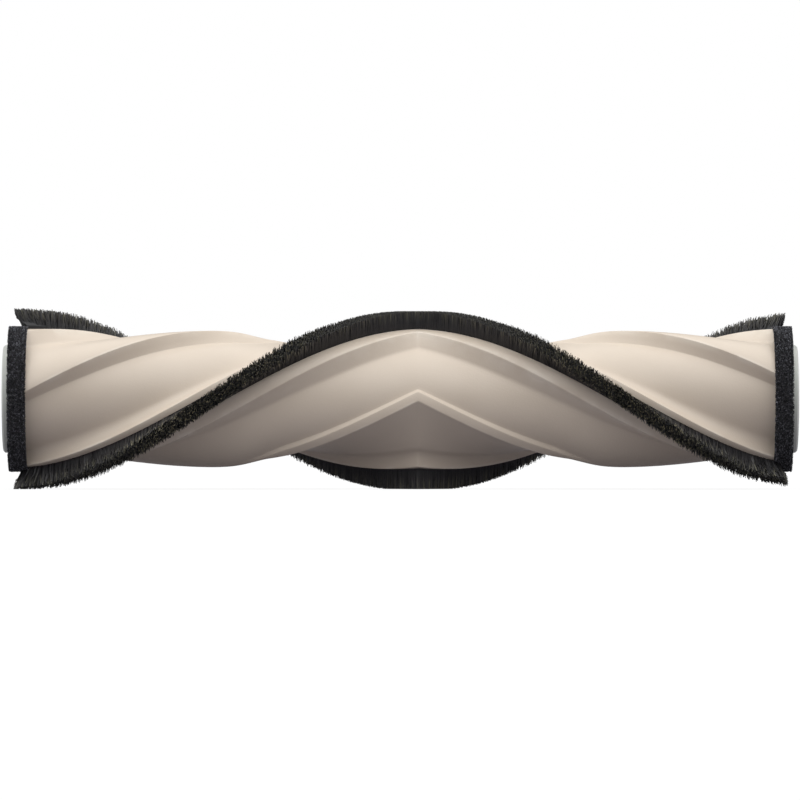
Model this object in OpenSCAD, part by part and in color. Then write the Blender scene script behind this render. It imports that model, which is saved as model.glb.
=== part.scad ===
// Vacuum brush roll: a lobed chevron roller with two rows of bristles, a pile ring
// round each end, a drive socket at the left end and a bearing cap at the right end.
// The axis lies along X and the roll rests on its bristle tips at Z = 0.

/* [Roller body] */
// Length of the lobed body between its end collars
body_len = 169.4; // [150:0.2:200]
// Radius of the rails that hold the brush strips
rail_r = 15.9; // [15.5:0.1:17]
// Radius of the grooves beside the rails
groove_r = 13; // [12.8:0.1:13.4]
// Radius of the broad hollows behind the ridges
hollow_r = 12.7; // [12.5:0.1:13]
// Radius of the two ridges
ridge_r = 15.5; // [14.9:0.1:16.2]
// Angle from a brush strip to the crest of the next ridge
ridge_angle = 89.5; // [88:0.5:91]
// Radius of the low step that the ridges turn into near the apex
step_r = 14.7; // [14.2:0.1:15]
// Angle from a brush strip to the edge of that step
step_angle = 94; // [91:0.5:97]
// Distance from the apex where the step begins to grow into a ridge
change_start = 28; // [20:1:36]
// Distance from the apex where the ridge has its full height
change_end = 43; // [38:1:60]
// Twist of the helix in degrees for each millimetre
twist_rate = 2; // [1.6:0.05:2.2]
// Distance of the chevron's apex from mid-length
apex_x = 4; // [-8:0.5:8]
// Direction of the first strip at the apex, where 90 is straight up
apex_dir = 92; // [89:0.5:95]

/* [Brush strips] */
// Radius at the tips of the bristles
tip_r = 20.7; // [19.5:0.1:22]
// Width of the bristle row at its tips
tip_w = 3.6; // [3.4:0.1:5.6]
// Width of the slot's mouth in the rail
mouth_w = 3.4; // [2.8:0.1:3.8]
// Width of a strip's backing
backing_w = 4.6; // [4.2:0.1:4.7]
// Thickness of a strip's backing
backing_t = 1.4; // [1:0.1:1.7]
// Radius at the floor of the strip's slot
slot_floor_r = 12.4; // [11.8:0.1:12.6]
// Clearance of a strip in its slot
strip_fit = 0.1; // [0.05:0.05:0.2]
// How far the tips lean out past the body at each end
end_splay = 3; // [1:0.1:3.6]
// Depth of the flat spot where the tips meet the floor
flat_depth = 0.25; // [0.15:0.05:0.5]

/* [End rings] */
// Length of each end collar
collar_len = 3.8; // [3:0.1:6]
// Outer radius of the end collars
collar_r = 14.1; // [13.6:0.1:14.6]
// Thickness of the pile's woven tape
tape_t = 0.6; // [0.4:0.1:1]
// Height of the pile above its tape
pile_h = 1.9; // [1:0.1:2.4]

/* [Core and drive end] */
// Outer radius of the core tube
core_r = 8; // [7.5:0.1:8.8]
// Wall of the core tube
core_wall = 1; // [0.8:0.1:1.6]
// Radius of the plugs in the body's ends
plug_r = 10; // [9.6:0.1:10.6]
// Depth of the plugs in the body's ends
plug_depth = 8.2; // [7.6:0.1:14]
// Length of the spigots in the core tube
spigot_len = 8; // [4:0.5:16]
// Radius of the pale end discs
disc_r = 12.2; // [11.6:0.1:12.8]
// How far the end discs stand out of their collars
disc_proud = 1.5; // [0.6:0.1:2]
// Depth of the recess that a disc sits in
disc_recess = 1.3; // [1.2:0.1:2.4]
// Outer radius of the drive coupling
coupling_r = 7.2; // [6.8:0.1:7.8]
// Length of the drive coupling
coupling_len = 11; // [8:0.5:12]
// Width across the flats of the square drive socket
socket_w = 8; // [6:0.5:8.5]
// Depth of the square drive socket
socket_depth = 9; // [5:0.5:9.5]
// Width of the two keys that stop the coupling turning
key_w = 2.4; // [1.6:0.2:3.2]
// Height of the two keys
key_h = 1; // [0.6:0.1:1.4]

/* [Bearing end] */
// Bore radius of the ball bearing
bearing_bore_r = 3; // [2.6:0.1:3.3]
// Outer radius of the ball bearing
bearing_outer_r = 7.5; // [7.2:0.1:8]
// Width of the ball bearing
bearing_w = 5; // [4.4:0.1:5]
// Radius of a ball
ball_r = 1.2; // [0.9:0.05:1.25]
// Number of balls
ball_count = 7; // [5:1:8]
// Radius of the bore that takes the machine's pin
pin_bore_r = 2; // [1.2:0.1:2.2]
// Thickness of the cap's disc
cap_t = 2.5; // [1.8:0.1:2.5]
// Radius of the cap's boss
boss_r = 4.2; // [3.9:0.1:4.6]
// Thickness of the spacer washer
washer_t = 0.6; // [0.4:0.1:0.8]
// Thickness of the felt seal
felt_t = 1; // [0.6:0.1:1.1]
// Thickness of the retaining clip
clip_t = 0.6; // [0.4:0.1:0.7]

/* [Clearances] */
// Gap of a press fit or glued seat
seat_gap = 0.02; // [0.01:0.01:0.05]
// Gap round a part that turns
run_gap = 0.3; // [0.2:0.05:0.4]
// Gap between a ball and its races
ball_gap = 0.04; // [0.02:0.01:0.06]

/* [Hidden] */
$fn = 96;

CHAMPAGNE = [0.84, 0.79, 0.72];
PALE_GREY = [0.76, 0.79, 0.76];
BLACK = [0.15, 0.15, 0.15];
CHARCOAL = [0.25, 0.25, 0.26];
STEEL = [0.72, 0.73, 0.75];

// Places along the axis, all measured from mid-length
body_end = body_len / 2;
collar_end = body_end + collar_len;
disc_face = collar_end + disc_proud;
recess_floor = collar_end - disc_recess;
plug_end = body_end - plug_depth;
axis_h = tip_r - flat_depth;

// Turn from one brush row to the other
row_turn = 180;

// How far the parts of one moulding run into each other
lap = 0.5;

// Bristle rows: where they start, and how the tips lean out over the pile rings
root_r = slot_floor_r + 2 * strip_fit + backing_t;
pile_r = collar_r + tape_t + pile_h;
lean_r = pile_r + 0.1;
lean_len = 8;

// Angles of the body's section, measured from the middle of a strip
rail_lead = 19;
rail_foot = 29.5;
groove_foot = 32.5;
facet_foot = 83;
facet_top = 85.5;
ridge_foot = ridge_angle + 8.5;
hollow_end = 155;
cove_turn = 165.5;
rail_trail = 167.5;

// The small bright facet before the step near the apex
facet_foot_r = groove_r + 0.45;
facet_top_r = step_r - 0.3;
fillet_r = 0.12;
slice_len = 4;

// Stations of the bearing end
boss_end = disc_face - cap_t;
bearing_out = boss_end - 0.9 - washer_t;
bearing_in = bearing_out - bearing_w;
bearing_mid = bearing_in + bearing_w / 2;
pitch_r = (bearing_bore_r + bearing_outer_r) / 2;
race_gap = 0.95;
land_in_r = pitch_r - race_gap;
land_out_r = pitch_r + race_gap;
groove_race_r = ball_r + ball_gap;
shield_t = 0.3;
shield_step = 0.3;
shield_inset = 0.15;
clip_groove_r = bearing_bore_r - 0.4;
clip_out = bearing_in - 0.05;
axle_in = bearing_in - 2.4;
axle_out = disc_face - 0.5;
axle_blind = 1.6;
cage_wall = 0.6;
cage_w = 2 * ball_r + 0.8;
ball_turn = 360 / ball_count;

function polar(r, a) = [r * cos(a), r * sin(a)];
function mix(a, b, w) = a + (b - a) * w;
function ease(t) = let (c = max(0, min(1, t))) c * c * (3 - 2 * c);

// How far the section has changed from its form at the apex, 0, to that at the ends, 1
function change(x) = ease((abs(x - apex_x) - change_start) / (change_end - change_start));

// Direction of the first strip at a place along the axis
function strip_dir(x) = apex_dir - twist_rate * abs(x - apex_x);

// A point of the section, outwards and sidewards from a strip's middle, put in its place
function set_point(x, turn, p) = let (a = strip_dir(x) + turn)
    [x, -p[0] * cos(a) - p[1] * sin(a), axis_h + p[0] * sin(a) - p[1] * cos(a)];

// The T-slot that holds a strip, from one lip of the rail to the other
function slot_points() = let (
        mouth = mouth_w / 2,
        half_w = backing_w / 2 + strip_fit,
        lip_u = sqrt(rail_r * rail_r - mouth * mouth)
    ) [
        [lip_u, -mouth], [root_r, -mouth], [root_r, -half_w], [slot_floor_r, -half_w],
        [slot_floor_r, half_w], [root_r, half_w], [root_r, mouth], [lip_u, mouth]
    ];

// Radius of the rise from the groove to the ridge, at the apex and at the ends
function rise_r(a, w) = let (
        calm = mix(groove_r, facet_foot_r, ease((a - groove_foot) / (facet_foot - groove_foot))),
        full = mix(groove_r, ridge_r, ease((a - groove_foot) / (ridge_angle - groove_foot)))
    ) mix(calm, full, w);

// The hollow behind the ridge: a flat at the apex, an even arc at the ends
function hollow_points(w) = let (
        a0 = mix(step_angle, ridge_foot, w),
        p0 = polar(mix(step_r, hollow_r, w), a0),
        p1 = polar(hollow_r, hollow_end)
    ) [for (t = [0.05 * (1 - w), 0.15, 0.3, 0.45, 0.6, 0.75, 0.88, 1])
        mix(mix(p0, p1, t), polar(hollow_r, mix(a0, hollow_end, t)), w)];

// The cove that rises from the hollow to the rail, steeper and steeper
function cove_points() = let (
        p0 = polar(hollow_r, hollow_end),
        p1 = polar(hollow_r, cove_turn),
        p2 = polar(rail_r, rail_trail)
    ) [for (t = [0.3, 0.6, 0.82, 1]) mix(mix(p0, p1, t), mix(p1, p2, t), t)];

// Half of the section, from the groove beside one rail to the groove beside the other
function lobe_points(w) = let (mouth_angle = asin(mouth_w / 2 / rail_r)) concat(
    [for (i = [0:7]) let (a = mix(groove_foot, facet_foot, i / 7)) polar(rise_r(a, w), a)],
    [polar(mix(facet_top_r, rise_r(facet_top, 1), w), facet_top)],
    [polar(mix(mix(facet_top_r, step_r, 0.6), ridge_r, w),
        mix(mix(facet_top, step_angle, 0.5), ridge_angle, w))],
    [polar(mix(step_r, mix(ridge_r, hollow_r, 0.55), w),
        mix(step_angle, mix(ridge_angle, ridge_foot, 0.35), w))],
    hollow_points(w),
    cove_points(),
    [polar(rail_r, mix(180 - mouth_angle, rail_trail, 0.5))],
    [for (p = slot_points()) -p],
    [for (t = [0.33, 0.67, 1]) -polar(rail_r, mix(mouth_angle, rail_lead, t))],
    [-polar(groove_r + fillet_r, rail_foot)]
);

// The whole section in its place along the axis
function section_ring(x) = let (half = lobe_points(change(x)))
    [for (turn = [0, row_turn]) each [for (p = half) set_point(x, turn, p)]];

// Triangles from one point to each stretch of a rim
function fan(pivot, rim) = [for (i = [0:len(rim) - 2]) [pivot, rim[i], rim[i + 1]]];

// An end face of the body, whose outline has n points from first on: fans that fill the
// lips beside each slot, and one round a centre on the axis for all that it can see
function end_faces(first, n, centre) = let (
        half = n / 2,
        slot = half - len(slot_points()) - 4,
        lips = [
            [slot + 2, [for (i = [slot - 2:slot + 1]) i]],
            [slot + 3, [slot - 2, slot + 2]],
            [slot + 5, [for (i = [slot + 6:slot + 10]) i]],
            [slot + 4, [slot + 5, slot + 10, slot + 11]]
        ],
        seen = concat([for (i = [0:slot - 2]) i], [slot + 3, slot + 4, half - 1])
    ) concat(
        [for (h = [first, first + half], lip = lips) each fan(h + lip[0], [for (i = lip[1]) h + i])],
        fan(centre, concat([for (h = [first, first + half], i = seen) h + i], [first]))
    );

// Turns a model built along Z onto the roll's axis
module lay() {
    translate([0, 0, axis_h]) rotate([0, 90, 0]) children();
}

// Faces between rings of points that follow each other, n points in a ring. The sides of
// what lies in a slot meet the slot's walls, so they are split along the same diagonals.
function side_faces(first, n, ring_count) = [for (k = [0:ring_count - 2], i = [0:n - 1])
    let (a = first + k * n + i, b = first + k * n + (i + 1) % n) each [[a, a + n, b + n], [a, b + n, b]]];
function inlaid_faces(first, n, ring_count) = [for (k = [0:ring_count - 2], i = [0:n - 1])
    let (a = first + k * n + i, b = first + k * n + (i + 1) % n) each [[a, a + n, b], [a + n, b + n, b]]];
function reversed(face) = [for (i = [len(face) - 1:-1:0]) face[i]];

// A solid that lies in a slot, through rings of points. An end face is a fan round the
// first point of each of its outlines.
module inlay(rings, outlines) {
    n = len(rings[0]);
    last = (len(rings) - 1) * n;
    polyhedron(
        points = [for (ring = rings) each ring],
        faces = concat(
            [for (o = outlines) each fan(o[0], [for (i = [1:len(o) - 1]) o[i]])],
            inlaid_faces(0, n, len(rings)),
            [for (o = outlines) each fan(last + o[0], [for (i = [len(o) - 1:-1:1]) last + o[i]])]
        )
    );
}

// Places of the rings from one end to the other, with one ring at the apex
function stations(x0, x1) = let (n = round((x1 - x0) / slice_len))
    [for (i = [0:n]) mix(x0, x1, i / n)];

module roller_body() {
    left = stations(-body_end, apex_x);
    right = stations(apex_x, body_end);
    xs = concat(left, [for (i = [1:len(right) - 1]) right[i]]);
    n = len(section_ring(apex_x));
    centres = len(xs) * n;
    color(CHAMPAGNE) difference() {
        polyhedron(
            points = concat([for (x = xs) each section_ring(x)],
                [for (x = [-body_end, body_end]) [x, 0, axis_h]]),
            faces = concat(
                end_faces(0, n, centres),
                side_faces(0, n, len(xs)),
                [for (face = end_faces(centres - n, n, centres + 1)) reversed(face)]
            )
        );
        lay() {
            cylinder(r = core_r + seat_gap, h = 2 * body_len, center = true);
            for (side = [-1, 1]) mirror([0, 0, side < 0 ? 1 : 0])
                translate([0, 0, plug_end]) cylinder(r = plug_r + seat_gap, h = plug_depth + 1);
        }
    }
}

module core_tube() {
    color(STEEL) lay() difference() {
        cylinder(r = core_r, h = 2 * plug_end, center = true);
        cylinder(r = core_r - core_wall, h = 2 * plug_end + 1, center = true);
    }
}

// One side of the chevron, from the apex to where a piece ends
function side_stations(side, x_end) = side > 0 ? stations(apex_x, x_end) : stations(-x_end, apex_x);

module backing(row, side) {
    u0 = slot_floor_r + strip_fit;
    half_w = backing_w / 2;
    outline = concat([[u0, -half_w]],
        [for (w = [-half_w, -mouth_w / 2, 0, mouth_w / 2, half_w]) [u0 + backing_t, w]],
        [[u0, half_w]]);
    color(CHARCOAL) inlay([for (x = side_stations(side, body_end))
        [for (p = outline) set_point(x, row_turn * row, p)]], [[for (i = [0:len(outline) - 1]) i]]);
}

// Outline of a bristle row, from the middle of its root round over the tips
function bristle_points() = let (
        root_w = mouth_w / 2 - strip_fit,
        tip_angle = asin(tip_w / 2 / tip_r),
        lean_w = mix(root_w, tip_w / 2, (lean_r - rail_r) / (tip_r - rail_r))
    ) concat(
        [[root_r, 0], [root_r, -root_w], [rail_r, -root_w], [lean_r, -lean_w]],
        [for (i = [-2:2]) polar(tip_r, tip_angle * i / 2)],
        [[lean_r, lean_w], [rail_r, root_w], [root_r, root_w]]
    );

// How far a point leans out over the pile ring, most at the tips and only near the end
function lean(x, p) = sign(x) * end_splay * max(0, (p[0] - lean_r) / (tip_r - lean_r))
    * ease((abs(x) - body_end + lean_len) / lean_len);

module bristles(row, side) {
    outline = bristle_points();
    below_rim = [0, 1, 2, 3, 9, 10, 11];
    over_rim = [3, 4, 5, 6, 7, 8, 9];
    color(BLACK) inlay([for (x = side_stations(side, body_end)) [for (p = outline) let (
            q = set_point(x, row_turn * row, p)
        ) [q[0] + lean(x, p), q[1], max(q[2], 0)]]], [below_rim, over_rim]);
}

// Places a ring that is built for the right end, side is 1 right, -1 left
module at_end(side) {
    lay() mirror([0, 0, side < 0 ? 1 : 0]) children();
}

module end_collar(side) {
    color(CHARCOAL) at_end(side) difference() {
        translate([0, 0, body_end]) cylinder(r = collar_r, h = collar_len);
        translate([0, 0, body_end - 1]) cylinder(r = plug_r + seat_gap, h = collar_len + 2);
        translate([0, 0, recess_floor]) cylinder(r = disc_r + run_gap, h = disc_recess + 1);
    }
}

module ring(r_in, r_out, z0, z1, edge = 0) {
    rotate_extrude() polygon([
        [r_in, z0], [r_out - edge, z0], [r_out, z0 + edge],
        [r_out, z1 - edge], [r_out - edge, z1], [r_in, z1]
    ]);
}

module pile_tape(side) {
    color(CHARCOAL) at_end(side)
        ring(collar_r + seat_gap, collar_r + tape_t, body_end, collar_end);
}

module pile_ring(side) {
    color(BLACK) at_end(side)
        ring(collar_r + tape_t, pile_r, body_end, collar_end, 0.2);
}

module key_pair(r_out, z0, z1, gap) {
    for (a = [0, row_turn]) rotate(a)
        translate([coupling_r - 1, -key_w / 2 - gap, z0])
            cube([key_h + 1 + gap, key_w + 2 * gap, z1 - z0]);
}

module drive_plug() {
    spigot_r = core_r - core_wall - seat_gap;
    color(PALE_GREY) at_end(-1) difference() {
        union() {
            ring(0, disc_r, recess_floor, disc_face, 0.4);
            translate([0, 0, plug_end]) cylinder(r = plug_r, h = recess_floor - plug_end + lap);
            translate([0, 0, plug_end - spigot_len]) cylinder(r = spigot_r, h = spigot_len + lap);
        }
        translate([0, 0, disc_face - coupling_len - 0.5])
            cylinder(r = coupling_r + seat_gap, h = coupling_len + 1);
        key_pair(coupling_r, disc_face - coupling_len - 0.5, disc_face + 0.5, seat_gap);
        translate([0, 0, plug_end - spigot_len - 1]) cylinder(r = spigot_r - 2, h = spigot_len);
    }
}

module drive_coupling() {
    z0 = disc_face - coupling_len - 0.5;
    z1 = disc_face - 0.5;
    mouth = 0.5;
    color(CHARCOAL) at_end(-1) difference() {
        union() {
            translate([0, 0, z0]) cylinder(r = coupling_r, h = coupling_len);
            key_pair(coupling_r, z0, z1, 0);
        }
        translate([-socket_w / 2, -socket_w / 2, z1 - socket_depth])
            cube([socket_w, socket_w, socket_depth + 1]);
        translate([0, 0, z1 - mouth]) cylinder(r1 = socket_w / 2, r2 = socket_w / 2 + 1, h = 2 * mouth);
    }
}

module bearing_hub() {
    spigot_r = core_r - core_wall - seat_gap;
    color(CHARCOAL) at_end(1) difference() {
        union() {
            translate([0, 0, plug_end]) cylinder(r = plug_r, h = recess_floor - plug_end);
            translate([0, 0, plug_end - spigot_len]) cylinder(r = spigot_r, h = spigot_len + lap);
        }
        translate([0, 0, bearing_in])
            cylinder(r = bearing_outer_r + seat_gap, h = recess_floor - bearing_in + 1);
        translate([0, 0, plug_end - spigot_len - 1])
            cylinder(r = spigot_r - 1.6, h = bearing_in - plug_end + spigot_len + 2);
    }
}

// Section of a bearing ring with the ball groove cut into it
module race(r_in, r_out) {
    difference() {
        translate([r_in, bearing_in]) square([r_out - r_in, bearing_w]);
        translate([pitch_r, bearing_mid]) circle(r = groove_race_r);
        children();
    }
}

module bearing_outer_ring() {
    step_r = land_out_r + shield_step;
    step_w = shield_t + shield_inset;
    color(STEEL) at_end(1) rotate_extrude() race(land_out_r, bearing_outer_r) {
        for (z = [bearing_in - 1, bearing_out - step_w])
            translate([0, z]) square([step_r + seat_gap, step_w + 1]);
    }
}

module bearing_inner_ring() {
    color(STEEL) at_end(1) rotate_extrude() race(bearing_bore_r + seat_gap / 2, land_in_r);
}

module bearing_balls() {
    color(STEEL) at_end(1) for (i = [0:ball_count - 1]) rotate(i * ball_turn)
        translate([pitch_r, 0, bearing_mid]) sphere(r = ball_r);
}

module bearing_cage() {
    color(STEEL) at_end(1) difference() {
        ring(pitch_r - cage_wall / 2, pitch_r + cage_wall / 2,
            bearing_mid - cage_w / 2, bearing_mid + cage_w / 2);
        for (i = [0:ball_count - 1]) rotate(i * ball_turn)
            translate([pitch_r - cage_wall, 0, bearing_mid]) rotate([0, 90, 0])
                cylinder(r = ball_r + ball_gap, h = 2 * cage_wall);
    }
}

module bearing_shield(z0) {
    color(STEEL) at_end(1)
        ring(land_in_r + run_gap / 2, land_out_r + shield_step, z0, z0 + shield_t);
}

module stub_axle() {
    color(STEEL) at_end(1) difference() {
        ring(0, bearing_bore_r, axle_in, axle_out, 0.3);
        translate([0, 0, axle_in + axle_blind]) cylinder(r = pin_bore_r, h = axle_out - axle_in);
        ring(clip_groove_r, bearing_bore_r + 1, clip_out - clip_t - 0.05, clip_out + 0.05);
    }
}

// Open retaining clip that grips the axle's groove
module axle_clip() {
    clip_r = land_in_r;
    gap_w = 2 * clip_groove_r * 0.8;
    color(STEEL) at_end(1) translate([0, 0, clip_out - clip_t]) linear_extrude(clip_t)
        difference() {
            circle(r = clip_r);
            circle(r = clip_groove_r + seat_gap);
            translate([0, -gap_w / 2]) square([clip_r + 1, gap_w]);
        }
}

module axle_washer() {
    color(STEEL) at_end(1)
        ring(bearing_bore_r + seat_gap, boss_r, bearing_out, bearing_out + washer_t);
}

module felt_seal() {
    z0 = recess_floor - felt_t - 0.05;
    color(BLACK) at_end(1)
        ring(boss_r + run_gap, bearing_outer_r, z0, z0 + felt_t);
}

module bearing_cap() {
    color(PALE_GREY) at_end(1) difference() {
        union() {
            ring(0, disc_r, boss_end, disc_face, 0.4);
            translate([0, 0, bearing_out + washer_t])
                cylinder(r = boss_r, h = boss_end - bearing_out - washer_t + lap);
        }
        translate([0, 0, bearing_out])
            cylinder(r = bearing_bore_r + seat_gap, h = disc_face - bearing_out + 1);
    }
}

roller_body();
core_tube();
backing(0, -1);  // backing_1_left
backing(0, 1);  // backing_1_right
backing(1, -1);  // backing_2_left
backing(1, 1);  // backing_2_right
bristles(0, -1);  // bristles_1_left
bristles(0, 1);  // bristles_1_right
bristles(1, -1);  // bristles_2_left
bristles(1, 1);  // bristles_2_right
end_collar(-1);  // end_collar_left
end_collar(1);  // end_collar_right
pile_tape(-1);  // pile_tape_left
pile_tape(1);  // pile_tape_right
pile_ring(-1);  // pile_ring_left
pile_ring(1);  // pile_ring_right
drive_plug();
drive_coupling();
bearing_hub();
bearing_outer_ring();
bearing_inner_ring();
bearing_balls();
bearing_cage();
bearing_shield(bearing_in + shield_inset);  // bearing_shield_inner
bearing_shield(bearing_out - shield_inset - shield_t);  // bearing_shield_outer
stub_axle();
axle_clip();
axle_washer();
felt_seal();
bearing_cap();
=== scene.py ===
# Vacuum brush roll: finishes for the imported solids, a smooth chevron body, real bristles and pile
import math
import random
import bpy
import bmesh
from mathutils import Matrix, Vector


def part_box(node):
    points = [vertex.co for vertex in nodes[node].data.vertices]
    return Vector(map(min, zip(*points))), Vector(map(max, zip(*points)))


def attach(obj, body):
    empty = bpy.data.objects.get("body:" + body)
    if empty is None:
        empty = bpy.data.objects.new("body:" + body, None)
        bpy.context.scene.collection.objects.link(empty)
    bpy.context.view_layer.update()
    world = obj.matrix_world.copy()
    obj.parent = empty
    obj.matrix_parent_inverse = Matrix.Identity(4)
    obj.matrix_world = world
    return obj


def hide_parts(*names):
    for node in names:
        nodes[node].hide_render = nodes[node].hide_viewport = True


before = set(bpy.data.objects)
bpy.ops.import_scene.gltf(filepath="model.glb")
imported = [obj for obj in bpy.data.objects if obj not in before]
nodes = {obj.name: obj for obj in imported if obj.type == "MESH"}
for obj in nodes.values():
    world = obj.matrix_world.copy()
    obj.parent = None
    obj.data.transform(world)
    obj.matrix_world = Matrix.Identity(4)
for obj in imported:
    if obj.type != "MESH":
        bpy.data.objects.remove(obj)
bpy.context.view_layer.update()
mm = 0.001
weldDistance = 1e-7

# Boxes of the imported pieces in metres, and the heights, lengths and radii they give in millimetres
tubeLow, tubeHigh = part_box("core_tube")
pileLow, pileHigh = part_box("pile_ring_right")
tapeLow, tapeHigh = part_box("pile_tape_right")
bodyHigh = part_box("roller_body")[1]
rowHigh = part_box("bristles_1_right")[1]
axisZ = (tubeLow.z + tubeHigh.z) / 2 / mm
bodyEnd = bodyHigh.x / mm
collarEnd = pileHigh.x / mm
pileR = (pileHigh.z - pileLow.z) / 2 / mm
tapeR = (tapeHigh.z - tapeLow.z) / 2 / mm
tipR = rowHigh.z / mm - axisZ
splay = rowHigh.x / mm - bodyEnd
print(f"axis {axisZ:.2f}, body end {bodyEnd:.2f}, tips {tipR:.2f}, splay {splay:.2f}")

# The chevron that body and bristle rows share, in millimetres and degrees
chevron = {
    "apexX": 4.0,
    "apexDir": 92.0,  # direction of the first strip at the apex, 90 is straight up
    "twist": 2.0,  # for each millimetre
    "apexSoft": 0.25,  # how softly the two helices meet
    "changeStart": 28.0,  # the section changes its form between these distances from the apex
    "changeEnd": 43.0,
}


def mix(a, b, t):
    return a + (b - a) * t


def ease(t):
    t = max(0.0, min(1.0, t))
    return t * t * (3 - 2 * t)


def polar(r, degrees):
    a = math.radians(degrees)
    return (r * math.cos(a), r * math.sin(a))


def fromApex(x):
    soft = chevron["apexSoft"]
    return math.sqrt((x - chevron["apexX"]) ** 2 + soft * soft) - soft


def stripDir(x):
    return chevron["apexDir"] - chevron["twist"] * fromApex(x)


def change(x):
    span = chevron["changeEnd"] - chevron["changeStart"]
    return ease((fromApex(x) - chevron["changeStart"]) / span)


def place(x, turn, p):
    # p is outwards and sidewards from a strip's middle, as the section is drawn
    a = math.radians(stripDir(x) + turn)
    y = -p[0] * math.cos(a) - p[1] * math.sin(a)
    z = axisZ + p[0] * math.sin(a) - p[1] * math.cos(a)
    return Vector((x, y, z)) * mm


def newObject(name, bm, material, body, replaced, sharpFrom=None):
    # a mesh in the scene; with an angle in degrees it is shaded smooth up to there
    mesh = bpy.data.meshes.new(name)
    bm.to_mesh(mesh)
    bm.free()
    mesh.materials.append(material)
    obj = bpy.data.objects.new(name, mesh)
    bpy.context.scene.collection.objects.link(obj)
    if sharpFrom is not None:
        mesh.shade_smooth()
        mesh.set_sharp_from_angle(angle=math.radians(sharpFrom))
    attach(obj, body)
    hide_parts(*replaced)
    mesh.calc_loop_triangles()
    print(name, len(mesh.loop_triangles), "triangles")


def loftRings(bm, rings, layer=None, values=None):
    # a grid laid through rings of points and closed along its seam; a value for each point
    # may go into a layer
    across = len(rings[0])
    made = bmesh.ops.create_grid(bm, x_segments=len(rings) - 1, y_segments=across, size=0.5)["verts"]
    for v in made:
        i = round((v.co.x + 0.5) * (len(rings) - 1))
        j = round((v.co.y + 0.5) * across)
        v.co = rings[i][j % across]
        if layer:
            v[layer] = values[i][j % across]
    bmesh.ops.remove_doubles(bm, verts=made, dist=weldDistance)


def shakenGrid(bm, rng, f):
    # a grid of triangles, one for each strand, whose inner points are moved by a share of a cell,
    # with layers for the strands' shade and for the height along them
    bmesh.ops.create_grid(bm, x_segments=f["along"], y_segments=f["across"], size=0.5)
    for v in bm.verts:
        if not v.is_boundary:
            v.co.x += rng.uniform(-f["shake"], f["shake"]) / f["along"]
            v.co.y += rng.uniform(-f["shake"], f["shake"]) / f["across"]
    bmesh.ops.triangulate(bm, faces=bm.faces[:])
    return bm.verts.layers.float.new("tint"), bm.verts.layers.float.new("rise")


# Camera at the photograph's angle: far off, level with the axis, looking along +Y.
# Metres, but the lens and sensor and the height below the axis are in millimetres.
cameraPlace = {
    "distance": 2.1, "x": -0.00007, "belowAxis": 0.23,
    "lens": 416.4, "sensor": 36, "nearest": 0.05, "farthest": 30,
}


def makeCamera():
    f = cameraPlace
    data = bpy.data.cameras.new("photoCamera")
    data.lens = f["lens"]
    data.sensor_width = f["sensor"]
    data.clip_start = f["nearest"]
    data.clip_end = f["farthest"]
    camera = bpy.data.objects.new("photoCamera", data)
    camera.location = (f["x"], -f["distance"], (axisZ - f["belowAxis"]) * mm)
    camera.rotation_euler = (math.radians(90), 0, 0)
    bpy.context.scene.collection.objects.link(camera)
    bpy.context.scene.camera = camera


# Light: a tent that is brightest overhead, with paler sides, a soft box above the camera,
# and a grey table below that the roll shades. The camera itself sees a nearly white floor
# and plain white behind it.
lightPlan = {
    "overhead": 1.92, "sides": 0.37, "box": 0.80, "boxTilt": 45.0, "boxPower": 6.0,
    "tableTone": (0.190, 0.185, 0.202), "tableGlow": (0.068, 0.066, 0.073),
    "floorTone": (0.11, 0.11, 0.11), "floorGlow": (0.90, 0.90, 0.90), "floorHalf": 8,
}


def makeWorld():
    f = lightPlan
    world = bpy.data.worlds.new("studio")
    bpy.context.scene.world = world
    world.use_nodes = True
    tree = world.node_tree
    tree.nodes.clear()

    def maths(operation, *values):
        node = tree.nodes.new("ShaderNodeMath")
        node.operation = operation
        for socket, value in zip(node.inputs, values):
            if isinstance(value, float):
                socket.default_value = value
            else:
                tree.links.new(value, socket)
        return node.outputs[0]

    coords = tree.nodes.new("ShaderNodeTexCoord")
    split = tree.nodes.new("ShaderNodeSeparateXYZ")
    tree.links.new(coords.outputs["Generated"], split.inputs[0])
    x, y, z = split.outputs
    above = maths("GREATER_THAN", z, 0.0)
    overhead = maths("MULTIPLY", maths("MULTIPLY", z, z), f["overhead"])
    sides = maths("MULTIPLY", maths("MULTIPLY", x, x), f["sides"])
    tilt = math.radians(f["boxTilt"])
    towards = maths("ADD", maths("MULTIPLY", z, math.sin(tilt)), maths("MULTIPLY", y, -math.cos(tilt)))
    lobe = maths("POWER", maths("MAXIMUM", towards, 0.0), f["boxPower"])
    box = maths("MULTIPLY", lobe, f["box"])
    strength = maths("MULTIPLY", maths("ADD", maths("ADD", overhead, sides), box), above)
    tent = tree.nodes.new("ShaderNodeBackground")
    tree.links.new(strength, tent.inputs["Strength"])
    white = tree.nodes.new("ShaderNodeBackground")
    for shade in (tent, white):
        shade.inputs["Color"].default_value = (1, 1, 1, 1)
    path = tree.nodes.new("ShaderNodeLightPath")
    pick = tree.nodes.new("ShaderNodeMixShader")
    output = tree.nodes.new("ShaderNodeOutputWorld")
    tree.links.new(path.outputs["Is Camera Ray"], pick.inputs[0])
    tree.links.new(tent.outputs[0], pick.inputs[1])
    tree.links.new(white.outputs[0], pick.inputs[2])
    tree.links.new(pick.outputs[0], output.inputs[0])


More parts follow.
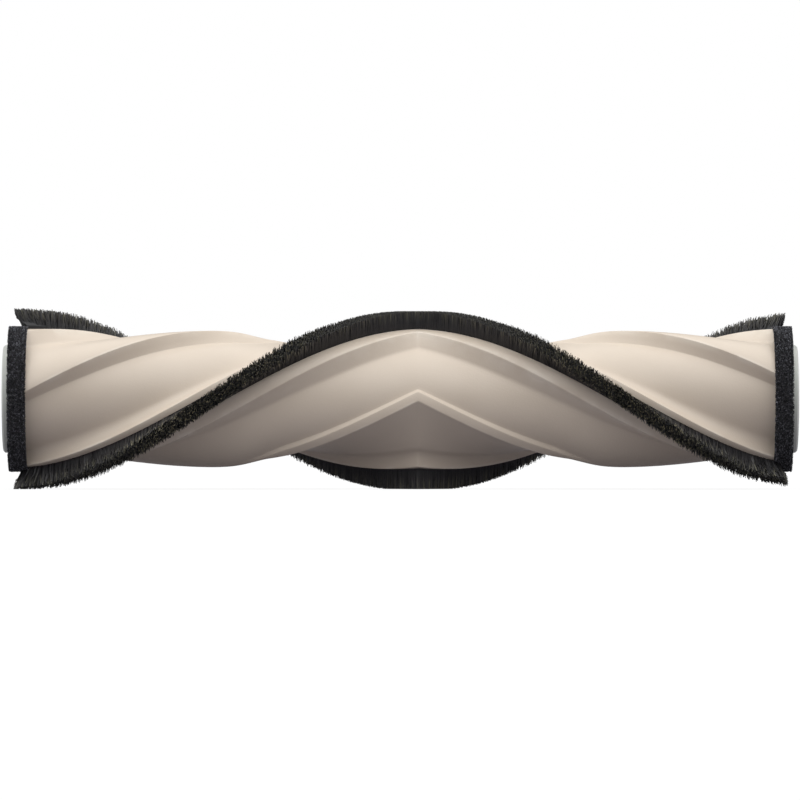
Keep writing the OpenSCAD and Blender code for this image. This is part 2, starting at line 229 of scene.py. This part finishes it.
def makeFloor():
    # the object meets a grey table, the camera a nearly white floor that still takes the shadow
    f = lightPlan
    bm = bmesh.new()
    bmesh.ops.create_grid(bm, x_segments=1, y_segments=1, size=f["floorHalf"])
    mesh = bpy.data.meshes.new("floor")
    bm.to_mesh(mesh)
    bm.free()
    floor = bpy.data.objects.new("floor", mesh)
    bpy.context.scene.collection.objects.link(floor)
    material = bpy.data.materials.new("paleFloor")
    material.use_nodes = True
    tree = material.node_tree
    tree.nodes.clear()
    output = tree.nodes.new("ShaderNodeOutputMaterial")
    path = tree.nodes.new("ShaderNodeLightPath")
    pick = tree.nodes.new("ShaderNodeMixShader")
    tree.links.new(path.outputs["Is Camera Ray"], pick.inputs[0])
    looks = [(f["tableTone"], f["tableGlow"]), (f["floorTone"], f["floorGlow"])]
    for i, (tone, shine) in enumerate(looks):
        matt = tree.nodes.new("ShaderNodeBsdfDiffuse")
        matt.inputs["Color"].default_value = (*tone, 1)
        glow = tree.nodes.new("ShaderNodeEmission")
        glow.inputs["Color"].default_value = (*shine, 1)
        both = tree.nodes.new("ShaderNodeAddShader")
        tree.links.new(matt.outputs[0], both.inputs[0])
        tree.links.new(glow.outputs[0], both.inputs[1])
        tree.links.new(both.outputs[0], pick.inputs[i + 1])
    tree.links.new(pick.outputs[0], output.inputs[0])
    mesh.materials.append(material)


makeCamera()
makeWorld()
makeFloor()
bpy.context.scene.view_settings.view_transform = "Standard"
print("camera, light and floor ready")

# Moulded grain and soft cloudiness, shared by every finish but the strands'
grainForm = {
    "detail": 3, "bumpDistance": 0.0001,
    "cloudScale": 90, "cloudDetail": 4, "glossSpread": 0.12,
}


def makeGrainGroup():
    f = grainForm
    group = bpy.data.node_groups.new("mouldedGrain", "ShaderNodeTree")
    sockets = (("Scale", "INPUT", "NodeSocketFloat"), ("Depth", "INPUT", "NodeSocketFloat"),
               ("Normal", "OUTPUT", "NodeSocketVector"), ("Mottle", "OUTPUT", "NodeSocketFloat"))
    for name, way, kind in sockets:
        group.interface.new_socket(name, in_out=way, socket_type=kind)
    inside = group.nodes.new("NodeGroupInput")
    outside = group.nodes.new("NodeGroupOutput")
    coords = group.nodes.new("ShaderNodeTexCoord")
    grain = group.nodes.new("ShaderNodeTexNoise")
    grain.inputs["Detail"].default_value = f["detail"]
    cloud = group.nodes.new("ShaderNodeTexNoise")
    cloud.inputs["Scale"].default_value = f["cloudScale"]
    cloud.inputs["Detail"].default_value = f["cloudDetail"]
    bump = group.nodes.new("ShaderNodeBump")
    bump.inputs["Distance"].default_value = f["bumpDistance"]
    group.links.new(coords.outputs["Object"], grain.inputs["Vector"])
    group.links.new(coords.outputs["Object"], cloud.inputs["Vector"])
    group.links.new(inside.outputs["Scale"], grain.inputs["Scale"])
    group.links.new(inside.outputs["Depth"], bump.inputs["Strength"])
    group.links.new(grain.outputs["Fac"], bump.inputs["Height"])
    group.links.new(bump.outputs["Normal"], outside.inputs["Normal"])
    group.links.new(cloud.outputs["Fac"], outside.inputs["Mottle"])
    return group


grainGroup = makeGrainGroup()


def grainyMaterial(name, dark, light, roughness, scale, depth, metallic):
    spread = grainForm["glossSpread"]
    material = bpy.data.materials.new(name)
    material.use_nodes = True
    tree = material.node_tree
    shader = tree.nodes["Principled BSDF"]
    grain = tree.nodes.new("ShaderNodeGroup")
    grain.node_tree = grainGroup
    grain.inputs["Scale"].default_value = scale
    grain.inputs["Depth"].default_value = depth
    colour = tree.nodes.new("ShaderNodeMix")
    colour.data_type = "RGBA"
    colour.inputs["A"].default_value = (*dark, 1)
    colour.inputs["B"].default_value = (*light, 1)
    gloss = tree.nodes.new("ShaderNodeMapRange")
    gloss.inputs["To Min"].default_value = roughness * (1 - spread)
    gloss.inputs["To Max"].default_value = roughness * (1 + spread)
    tree.links.new(grain.outputs["Mottle"], colour.inputs["Factor"])
    tree.links.new(grain.outputs["Mottle"], gloss.inputs["Value"])
    tree.links.new(colour.outputs["Result"], shader.inputs["Base Color"])
    tree.links.new(gloss.outputs["Result"], shader.inputs["Roughness"])
    tree.links.new(grain.outputs["Normal"], shader.inputs["Normal"])
    shader.inputs["Metallic"].default_value = metallic
    return material


def strandMaterial(name, shades, tipShades, paleFrom, roughness, sheen):
    # the tint attribute gives every strand its own shade, and rise leads over to its tip's paler
    # painted highlight
    material = bpy.data.materials.new(name)
    material.use_nodes = True
    tree = material.node_tree
    shader = tree.nodes["Principled BSDF"]
    tint = tree.nodes.new("ShaderNodeAttribute")
    tint.attribute_name = "tint"
    rise = tree.nodes.new("ShaderNodeAttribute")
    rise.attribute_name = "rise"
    reach = tree.nodes.new("ShaderNodeMapRange")
    reach.interpolation_type = "SMOOTHSTEP"
    reach.inputs["From Min"].default_value = paleFrom
    tip = tree.nodes.new("ShaderNodeMix")
    tip.data_type = "RGBA"
    for side, stopList in (("A", shades), ("B", tipShades)):
        ramp = tree.nodes.new("ShaderNodeValToRGB")
        stops = ramp.color_ramp.elements
        while len(stops) < len(stopList):
            stops.new(0.5)
        for stop, (position, colour) in zip(stops, stopList):
            stop.position = position
            stop.color = (*colour, 1)
        tree.links.new(tint.outputs["Fac"], ramp.inputs["Fac"])
        tree.links.new(ramp.outputs["Color"], tip.inputs[side])
    tree.links.new(rise.outputs["Fac"], reach.inputs["Value"])
    tree.links.new(reach.outputs["Result"], tip.inputs["Factor"])
    tree.links.new(tip.outputs["Result"], shader.inputs["Base Color"])
    shader.inputs["Roughness"].default_value = roughness
    shader.inputs["Sheen Weight"].default_value = sheen
    return material


# Painted highlight: bare edges of the body are painted a little paler, and made smoother, in patches
edgeHighlightForm = {
    "scale": 160, "detail": 5, "patchFrom": 0.42, "patchTo": 0.62,
    "pale": (0.82, 0.73, 0.62), "polish": 0.24,
}


def addEdgeHighlight(material):
    f = edgeHighlightForm
    tree = material.node_tree
    shader = tree.nodes["Principled BSDF"]
    highlit = tree.nodes.new("ShaderNodeAttribute")
    highlit.attribute_name = "edgeHighlight"
    coords = tree.nodes.new("ShaderNodeTexCoord")
    patches = tree.nodes.new("ShaderNodeTexNoise")
    patches.inputs["Scale"].default_value = f["scale"]
    patches.inputs["Detail"].default_value = f["detail"]
    cut = tree.nodes.new("ShaderNodeMapRange")
    cut.inputs["From Min"].default_value = f["patchFrom"]
    cut.inputs["From Max"].default_value = f["patchTo"]
    amount = tree.nodes.new("ShaderNodeMath")
    amount.operation = "MULTIPLY"
    tree.links.new(coords.outputs["Object"], patches.inputs["Vector"])
    tree.links.new(patches.outputs["Fac"], cut.inputs["Value"])
    tree.links.new(highlit.outputs["Fac"], amount.inputs[0])
    tree.links.new(cut.outputs["Result"], amount.inputs[1])
    # the pale colour mixed in at the edges is a painted highlight
    tone = tree.nodes.new("ShaderNodeMix")
    tone.data_type = "RGBA"
    tone.inputs["B"].default_value = (*f["pale"], 1)
    gloss = tree.nodes.new("ShaderNodeMix")
    gloss.inputs["B"].default_value = f["polish"]
    tree.links.new(shader.inputs["Base Color"].links[0].from_socket, tone.inputs["A"])
    tree.links.new(shader.inputs["Roughness"].links[0].from_socket, gloss.inputs["A"])
    tree.links.new(amount.outputs[0], tone.inputs["Factor"])
    tree.links.new(amount.outputs[0], gloss.inputs["Factor"])
    tree.links.new(tone.outputs["Result"], shader.inputs["Base Color"])
    tree.links.new(gloss.outputs["Result"], shader.inputs["Roughness"])


# Each finish: its darker and lighter colour, roughness, grain's scale and depth, and metalness
finishForms = {
    "champagnePlastic": ((0.69, 0.59, 0.482), (0.77, 0.668, 0.556), 0.36, 2600, 0.24, 0),
    "palePlastic": ((0.64, 0.66, 0.62), (0.74, 0.76, 0.71), 0.45, 3000, 0.15, 0),
    "darkPlastic": ((0.016, 0.016, 0.017), (0.026, 0.026, 0.027), 0.5, 3000, 0.2, 0),
    "blackRubber": ((0.012, 0.012, 0.012), (0.022, 0.022, 0.022), 0.7, 4000, 0.3, 0),
    "wovenTape": ((0.010, 0.010, 0.011), (0.022, 0.022, 0.024), 0.9, 5000, 0.6, 0),
    "greyFelt": ((0.030, 0.030, 0.031), (0.060, 0.060, 0.062), 0.95, 6000, 0.8, 0),
    "turnedSteel": ((0.56, 0.56, 0.57), (0.66, 0.66, 0.67), 0.24, 3500, 0.08, 1),
    "drawnTube": ((0.72, 0.72, 0.73), (0.80, 0.80, 0.81), 0.32, 3000, 0.08, 1),
}
finishes = {name: grainyMaterial(name, *form) for name, form in finishForms.items()}
addEdgeHighlight(finishes["champagnePlastic"])

# Each strand finish: shades along the strand, paler shades of its tip that are a painted highlight,
# where the tip's begin along the strand, roughness and sheen
strandForms = {
    "bristleNylon": (
        [(0.0, (0.016, 0.016, 0.018)), (0.6, (0.028, 0.027, 0.029)), (1.0, (0.052, 0.050, 0.048))],
        [(0.0, (0.034, 0.034, 0.037)), (0.5, (0.082, 0.080, 0.081)),
         (0.78, (0.250, 0.238, 0.165)), (1.0, (0.720, 0.630, 0.440))],
        0.48, 0.42, 0.0),
    "pileFibre": (
        [(0.0, (0.010, 0.010, 0.013)), (0.7, (0.034, 0.034, 0.039)), (1.0, (0.110, 0.112, 0.125))],
        [(0.0, (0.016, 0.016, 0.020)), (0.6, (0.060, 0.060, 0.070)), (1.0, (0.520, 0.530, 0.600))],
        0.25, 0.7, 0.2),
}
finishes.update((name, strandMaterial(name, *form)) for name, form in strandForms.items())

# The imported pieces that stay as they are, by finish
cadPieces = {
    "drawnTube": ["core_tube"],
    "darkPlastic": ["backing_1_left", "backing_1_right", "backing_2_left", "backing_2_right",
                    "end_collar_left", "end_collar_right", "bearing_hub"],
    "wovenTape": ["pile_tape_left", "pile_tape_right"],
    "palePlastic": ["drive_plug", "bearing_cap"],
    "blackRubber": ["drive_coupling"],
    "greyFelt": ["felt_seal"],
    "turnedSteel": ["bearing_outer_ring", "bearing_inner_ring", "bearing_balls", "bearing_cage",
                    "bearing_shield_inner", "bearing_shield_outer", "stub_axle", "axle_clip",
                    "axle_washer"],
}
for finish, nodeNames in cadPieces.items():
    for nodeName in nodeNames:
        nodes[nodeName].data.materials.clear()
        nodes[nodeName].data.materials.append(finishes[finish])
print("finishes ready")

# The body: one moulding, drawn as section rings along the axis, in millimetres and in degrees from
# a strip's middle. A pair of values is for near the apex and for far from it, and a share is a
# place between two neighbouring corners.
bodyForm = {
    "railR": 15.9, "railLead": 19.0, "railShares": (0.3, 0.6), "railBend": 0.25,
    "mouth": 1.7, "slotTop": 14.0, "slotFloor": 12.4, "slotHalf": 2.4, "lipBend": 0.12,
    "grooveR": 13.0, "railFoot": 31.0, "grooveBend": 0.7, "grooveSteps": 12, "grooveStart": 0.6,
    "facetFootR": 13.45, "facetFoot": 83.0, "facetTopR": 14.4, "facetTop": 85.5,
    "facetBend": (0.2, 0.6),
    "stepR": 14.7, "stepAngle": 94.0, "stepShareR": 0.6, "stepShareAngle": 0.5,
    "ridgeR": 15.5, "ridgeAngle": 89.5, "ridgeFoot": 98.0, "ridgeBend": (0.9, 0.16),
    "flankShareR": 0.51, "flankShareAngle": 0.46, "flankBend": (0.2, 0.3),
    "hollowR": 12.7, "hollowEnd": 155.0, "hollowSteps": 12, "hollowStart": 0.035,
    "hollowBend": (0.02, 0.22),
    "coveTurn": 165.5, "railTrail": 167.5, "coveSteps": 8, "coveBend": 0.25,
    "bendSteps": 3, "bendShare": 0.45,  # the most that a bend takes of an edge
    "boreR": 8.02, "plugR": 10.02, "plugDepth": 8.2, "boreSides": 96,
    "slice": 0.8, "fineSlice": 0.2, "fineReach": 2.0, "shortestSlice": 0.24, "sharpFrom": 32,
}


def riseR(a, w):
    # radius of the surface that rises from the groove, at angle a
    f = bodyForm
    low = ease((a - f["railFoot"]) / (f["facetFoot"] - f["railFoot"]))
    high = ease((a - f["railFoot"]) / (f["ridgeAngle"] - f["railFoot"]))
    return mix(mix(f["grooveR"], f["facetFootR"], low), mix(f["grooveR"], f["ridgeR"], high), w)


def halfSection(w):
    # corners of half the section, each with the length that its bend takes off both sides
    # and its share of the painted highlight on bare edges; w is 0 near the apex and 1 far from it
    f = bodyForm
    listed = []

    def corner(point, bend=0, edgeHighlight=0):
        listed.append((point, bend, edgeHighlight))

    mouthAngle = math.degrees(math.asin(f["mouth"] / f["railR"]))
    lip = math.sqrt(f["railR"] ** 2 - f["mouth"] ** 2)
    corner((lip, -f["mouth"]), f["lipBend"], 1)
    corner((f["slotTop"], -f["mouth"]))
    corner((f["slotTop"], -f["slotHalf"]))
    corner((f["slotFloor"], -f["slotHalf"]))
    corner((f["slotFloor"], f["slotHalf"]))
    corner((f["slotTop"], f["slotHalf"]))
    corner((f["slotTop"], f["mouth"]))
    corner((lip, f["mouth"]), f["lipBend"], 1)
    for share in f["railShares"]:
        corner(polar(f["railR"], mix(mouthAngle, f["railLead"], share)))
    corner(polar(f["railR"], f["railLead"]), f["railBend"], 1)
    corner(polar(f["grooveR"], f["railFoot"]), f["grooveBend"])

    # the rise from the groove, with a longer first step beside the bend at its foot
    spans = f["grooveSteps"] + 1 + f["grooveStart"]
    for i in range(1, f["grooveSteps"] + 1):
        a = mix(f["railFoot"], f["facetFoot"], (i + f["grooveStart"]) / spans)
        corner(polar(riseR(a, w), a))
    corner(polar(riseR(f["facetFoot"], w), f["facetFoot"]), mix(*f["facetBend"], w))
    topR = mix(f["facetTopR"], riseR(f["facetTop"], 1), w)
    corner(polar(topR, f["facetTop"]), mix(*f["facetBend"], w))

    # the same corners make a step near the apex and a ridge far from it
    crestR = mix(mix(f["facetTopR"], f["stepR"], f["stepShareR"]), f["ridgeR"], w)
    crest = mix(mix(f["facetTop"], f["stepAngle"], f["stepShareAngle"]), f["ridgeAngle"], w)
    corner(polar(crestR, crest), mix(*f["ridgeBend"], w), w)
    flankR = mix(f["stepR"], mix(f["ridgeR"], f["hollowR"], f["flankShareR"]), w)
    flank = mix(f["stepAngle"], mix(f["ridgeAngle"], f["ridgeFoot"], f["flankShareAngle"]), w)
    corner(polar(flankR, flank), mix(*f["flankBend"], w), 1 - w)

    # a straight face near the apex and a round hollow far from it; near the apex its first
    # point stands off from the flank's
    hollow = mix(f["stepAngle"], f["ridgeFoot"], w)
    start = Vector(polar(mix(f["stepR"], f["hollowR"], w), hollow))
    end = Vector(polar(f["hollowR"], f["hollowEnd"]))
    for i in range(f["hollowSteps"] + 1):
        t = i / f["hollowSteps"] if i else f["hollowStart"] * (1 - w)
        arc = Vector(polar(f["hollowR"], mix(hollow, f["hollowEnd"], t)))
        corner(tuple(start.lerp(end, t).lerp(arc, w)), 0 if i else mix(*f["hollowBend"], w))

    turn = Vector(polar(f["hollowR"], f["coveTurn"]))
    top = Vector(polar(f["railR"], f["railTrail"]))
    for i in range(1, f["coveSteps"] + 1):
        t = i / f["coveSteps"]
        last = i == f["coveSteps"]
        corner(tuple(end.lerp(turn, t).lerp(turn.lerp(top, t), t)), f["coveBend"] if last else 0, last)
    corner(polar(f["railR"], mix(180 - mouthAngle, f["railTrail"], 0.5)))
    return listed


def section(w):
    # the whole outline with its corners bent, always with the same number of points,
    # each with its share of the painted edge highlight
    f = bodyForm
    half = halfSection(w)
    corners = [Vector(p) for p, bend, edgeHighlight in half] + [-Vector(p) for p, bend, edgeHighlight in half]
    points = []
    for i, p in enumerate(corners):
        bend, edgeHighlight = half[i % len(half)][1:]
        if not bend:
            points.append((p, edgeHighlight))
            continue
        before = corners[i - 1] - p
        after = corners[(i + 1) % len(corners)] - p
        reach = min(bend, before.length * f["bendShare"], after.length * f["bendShare"])
        a = p + before.normalized() * reach
        b = p + after.normalized() * reach
        for k in range(f["bendSteps"] + 1):
            t = k / f["bendSteps"]
            points.append((a * (1 - t) ** 2 + p * 2 * t * (1 - t) + b * t * t, edgeHighlight))
    return points


def bodyStations():
    f = bodyForm
    xs = [-bodyEnd]
    while xs[-1] < bodyEnd - f["shortestSlice"]:
        near = abs(xs[-1] - chevron["apexX"]) < f["fineReach"]
        xs.append(xs[-1] + (f["fineSlice"] if near else f["slice"]))
    xs[-1] = bodyEnd
    return xs


def makeRollerBody():
    f = bodyForm
    bm = bmesh.new()
    # each point's share of the painted edge highlight goes into this layer
    edgeHighlight = bm.verts.layers.float.new("edgeHighlight")
    stations = bodyStations()
    outlines = [section(change(x)) for x in stations]
    rings = [[place(x, 0, p) for p, highlit in outline] for x, outline in zip(stations, outlines)]
    loftRings(bm, rings, edgeHighlight, [[float(highlit) for p, highlit in outline] for outline in outlines])
    plugEnd = bodyEnd - f["plugDepth"]
    bore = [(-bodyEnd, "plugR"), (-plugEnd, "plugR"), (-plugEnd, "boreR")]
    bore += [(-x, r) for x, r in reversed(bore)]
    turns = [360 * i / f["boreSides"] for i in range(f["boreSides"])]
    centre = Vector((0, 0, axisZ * mm))
    loftRings(bm, [[Vector((x, *polar(f[r], a))) * mm + centre for a in turns] for x, r in bore])
    for side in (-1, 1):
        rim = [e for e in bm.edges if e.is_boundary and e.verts[0].co.x * side > 0]
        bmesh.ops.triangle_fill(bm, use_beauty=True, use_dissolve=False, edges=rim)
    bmesh.ops.recalc_face_normals(bm, faces=bm.faces)
    newObject("chevronBody", bm, finishes["champagnePlastic"], "roller",
              ["roller_body"], f["sharpFrom"])


makeRollerBody()

# Bristle rows: a dark core in the slot and thousands of tapered nylon filaments. Radii and
# distances from the apex are in millimetres, and heights are shares of a strand's length. A pair
# of values is for near the apex and for far from it.
bristleForm = {
    "rootR": 14.0, "railR": 15.9, "rootHalf": 1.6, "tipHalf": 1.8,
    "leanR": 16.7, "leanLength": 8.0,
    "coreR": 18.6, "coreShares": (0.9, 0.9, 0.88, 0.8), "coreSteps": 60,
    "along": 380, "across": 15, "shake": 0.3, "seed": 40,
    "midHeight": 0.55, "midDrift": 0.4, "midThin": 0.85, "tipThin": 0.42,
    "lengthSpread": (0.018, 0.085), "strayShare": (0.01, 0.10), "strayLength": 0.20,
    "shortest": 0.62, "bendSpread": (0.08, 0.34), "raggedFrom": 18.0, "raggedAt": 34.0,
    "evenShade": 0.5, "shadePower": 1.3, "shadeSpread": (0.42, 1.0),
    "quietFrom": 56.0, "quietAt": 72.0,
    "sideDrift": 0.34, "overhang": 1.3, "trimmed": (0.11, 0.0), "trimFrom": 17.0, "trimTo": 27.0,
}


def rowPoint(x, t, r, turn):
    # a point of the row at station x, t across from -1 to 1, radius r; tips lean out past the
    # body's ends, and none goes below the floor
    f = bristleForm
    rise = max(0.0, (r - f["railR"]) / (tipR - f["railR"]))
    v = t * mix(f["rootHalf"], f["tipHalf"], rise)
    up = max(0.0, (r - f["leanR"]) / (tipR - f["leanR"]))
    lean = splay * (1 - (1 - up) ** 3)
    lean *= ease((abs(x) - bodyEnd + f["leanLength"]) / f["leanLength"])
    p = place(x, turn, (math.sqrt(max(r * r - v * v, 0)), v))
    p.x += math.copysign(lean, x) * mm
    p.z = max(p.z, 0.0)
    return p


def makeBristles(row, side):
    # every triangle of a grid grows into a strand with a bend at its middle; the grid's x runs
    # along the row, its y across it, and its z is the height along the strand
    f = bristleForm
    name = f"bristles_{row + 1}_" + ("left" if side < 0 else "right")
    x0, x1 = (chevron["apexX"], bodyEnd) if side > 0 else (-bodyEnd, chevron["apexX"])
    reach = x1 - x0
    turn = 180 * row
    rng = random.Random(f["seed"] + row * 2 + (side > 0))
    bm = bmesh.new()
    tint, rise = shakenGrid(bm, rng, f)
    number = bm.faces.layers.int.new("number")
    mids = bmesh.ops.extrude_discrete_faces(bm, faces=bm.faces[:])["faces"]
    strands = []
    for face in mids:
        c = face.calc_center_median()
        away = fromApex(x0 + (c.x + 0.5) * reach)
        toEnd = ease((away - f["raggedFrom"]) / (f["raggedAt"] - f["raggedFrom"]))
        calm = ease((away - f["quietFrom"]) / (f["quietAt"] - f["quietFrom"]))
        whole = ease((away - f["trimFrom"]) / (f["trimTo"] - f["trimFrom"]))
        trim = mix(*f["trimmed"], whole) * (1 - row)
        bend = mix(*f["bendSpread"], toEnd)
        drift = (rng.gauss(0, bend) / reach, rng.gauss(0, bend) * f["sideDrift"])
        # the strands' random shades spread widest where the first row's tips face the camera, and
        # there the paler tip shades show as a painted highlight
        spread = mix(*f["shadeSpread"], toEnd * (1 - calm))
        shade = mix(f["evenShade"], rng.random() ** f["shadePower"], spread)
        lift = Vector((drift[0] * f["midDrift"], drift[1] * f["midDrift"], f["midHeight"]))
        for v in face.verts:
            v.co = c + (v.co - c) * f["midThin"] + lift
            v[tint] = shade
        face[number] = len(strands)
        strands.append((drift, toEnd, trim))
    # the second extrusion returns the faces in another order, so each carries its strand's number
    tips = bmesh.ops.extrude_discrete_faces(bm, faces=mids)["faces"]
    for face in tips:
        drift, toEnd, trim = strands[face[number]]
        height = 1 - abs(rng.gauss(0, mix(*f["lengthSpread"], toEnd)))
        if rng.random() < mix(*f["strayShare"], toEnd):
            height -= rng.random() * f["strayLength"]
        height = max(f["shortest"], min(1.0, height)) * (1 - trim)
        c = face.calc_center_median()
        for v in face.verts:
            v.co = c + (v.co - c) * (f["tipThin"] / f["midThin"])
            v.co.x += drift[0]
            v.co.y += drift[1]
            v.co.z = height
    bm.faces.layers.int.remove(number)
    for v in bm.verts:
        v[rise] = v.co.z
        x = x0 + (v.co.x + 0.5) * reach
        t = max(-f["overhang"], min(f["overhang"], v.co.y * 2))
        v.co = rowPoint(max(x0, min(x1, x)), t, mix(f["rootR"], tipR, v.co.z), turn)
    flank = list(zip((f["rootR"], f["railR"], f["leanR"], f["coreR"]), f["coreShares"]))
    outline = [(r, -t) for r, t in flank] + [(f["coreR"], 0)] + flank[::-1]
    stations = [mix(x0, x1, i / f["coreSteps"]) for i in range(f["coreSteps"] + 1)]
    loftRings(bm, [[rowPoint(x, t, r, turn) for r, t in outline] for x in stations])
    bmesh.ops.reverse_faces(bm, faces=bm.faces[:])  # a row runs the other way round than the grid
    newObject(name + "_strands", bm, finishes["bristleNylon"], "roller", [name])


for row in (0, 1):
    for side in (-1, 1):
        makeBristles(row, side)

# Pile rings: a band of short fibres round each end, which flare past its edges
pileForm = {
    "along": 400, "across": 16, "shake": 0.3, "seed": 70,
    "thin": 0.35, "spread": 0.35, "lengthSpread": 0.10, "flare": 0.3, "shadePower": 1.6,
}


def makePile(side):
    # as in the bristle rows, but the grid's x runs round the ring and its y along the axis
    f = pileForm
    name = "pile_ring_" + ("left" if side < 0 else "right")
    width = collarEnd - bodyEnd
    girth = 2 * math.pi * pileR
    rng = random.Random(f["seed"] + side)
    bm = bmesh.new()
    tint, rise = shakenGrid(bm, rng, f)
    tips = bmesh.ops.extrude_discrete_faces(bm, faces=bm.faces[:])["faces"]
    for face in tips:
        c = face.calc_center_median()
        drift = Vector((rng.gauss(0, f["spread"]) / girth, rng.gauss(0, f["spread"]) / width, 0))
        height = 1 - abs(rng.gauss(0, f["lengthSpread"]))
        # each fibre gets a random shade; the paler tip shades it can pick are a painted highlight on
        # the fibre tips
        shade = rng.random() ** f["shadePower"]
        for v in face.verts:
            v.co = c + (v.co - c) * f["thin"] + drift
            v.co.z = height
            v[tint] = shade
    for v in bm.verts:
        v[rise] = v.co.z
        a = 2 * math.pi * v.co.x
        r = mix(tapeR, pileR, v.co.z)
        edge = f["flare"] * v.co.z / width
        t = v.co.y + 0.5 + edge * (v.co.y * 2) ** 3
        x = mix(bodyEnd, collarEnd, max(-edge, min(1 + edge, t)))
        v.co = Vector((side * x, r * math.cos(a), axisZ + r * math.sin(a))) * mm
    seam = [v for v in bm.verts if v.is_boundary]
    bmesh.ops.remove_doubles(bm, verts=seam, dist=weldDistance)
    if side < 0:
        bmesh.ops.reverse_faces(bm, faces=bm.faces[:])  # the left ring is a mirror image
    newObject(name + "_fibres", bm, finishes["pileFibre"], "roller", [name])


for side in (-1, 1):
    makePile(side)
